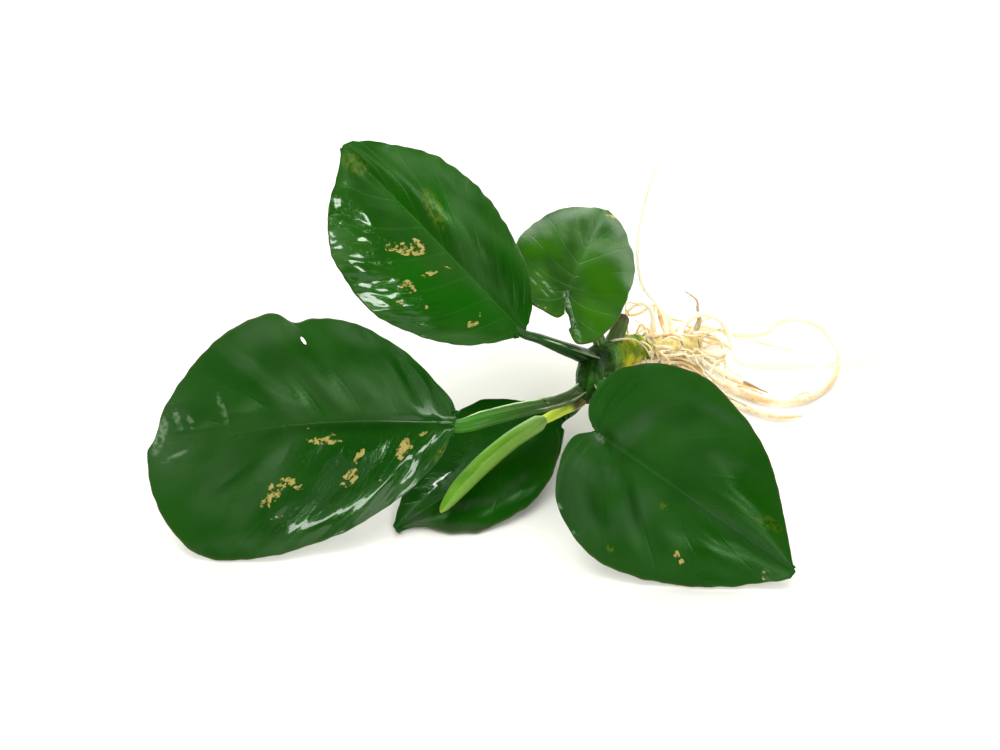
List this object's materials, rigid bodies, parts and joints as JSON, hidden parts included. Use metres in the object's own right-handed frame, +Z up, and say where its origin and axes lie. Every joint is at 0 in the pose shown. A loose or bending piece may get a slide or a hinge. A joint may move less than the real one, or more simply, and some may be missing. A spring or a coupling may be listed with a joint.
{
  "type": "bare-root anubias plant",
  "caption": "Small broad-leaved anubias lying on its side, with a creeping rhizome, glossy dark blades on short stalks, a rolled young leaf and loose bare roots.",
  "frame": {"origin": "centre of the plant's footprint, on the surface that it lies on", "axes": "+X from the big left leaf towards the long root, +Y away from the viewer towards the roots' far loop, +Z up"},
  "size_m": [0.1748, 0.1064, 0.0574],
  "materials": {
    "leaf_dark": "wet and glossy",
    "leaf_bright": "wet and glossy",
    "leaf_young": "satin",
    "stalk_green": "satin",
    "stalk_old": "dull",
    "rhizome_skin": "satin",
    "root_skin": "dull",
    "sheath_skin": "dull"
  },
  "bodies": {
    "root": {"rhizome": "rhizome_skin", "leaf_back": "leaf_dark", "leaf_small": "leaf_bright", "leaf_left": "leaf_dark", "leaf_under": "leaf_dark", "leaf_right": "leaf_dark", "leaf_rolled": "leaf_young", "stalk_back": "stalk_green", "stalk_small": "stalk_green", "stalk_left": "stalk_green", "stalk_under": "stalk_green", "stalk_right": "stalk_green", "stalk_rolled": "stalk_green", "old_stalk": "stalk_old", "sheath": "sheath_skin", "root_far_loop": "root_skin", "root_near_loop": "root_skin", "root_low": "root_skin", "root_long": "root_skin", "root_tall": "root_skin", "root_arch": "root_skin", "root_short": "root_skin", "root_small_loop": "root_skin", "root_stub": "root_skin", "root_prop_front": "root_skin", "root_prop_back": "root_skin"}
  },
  "joints": []
}
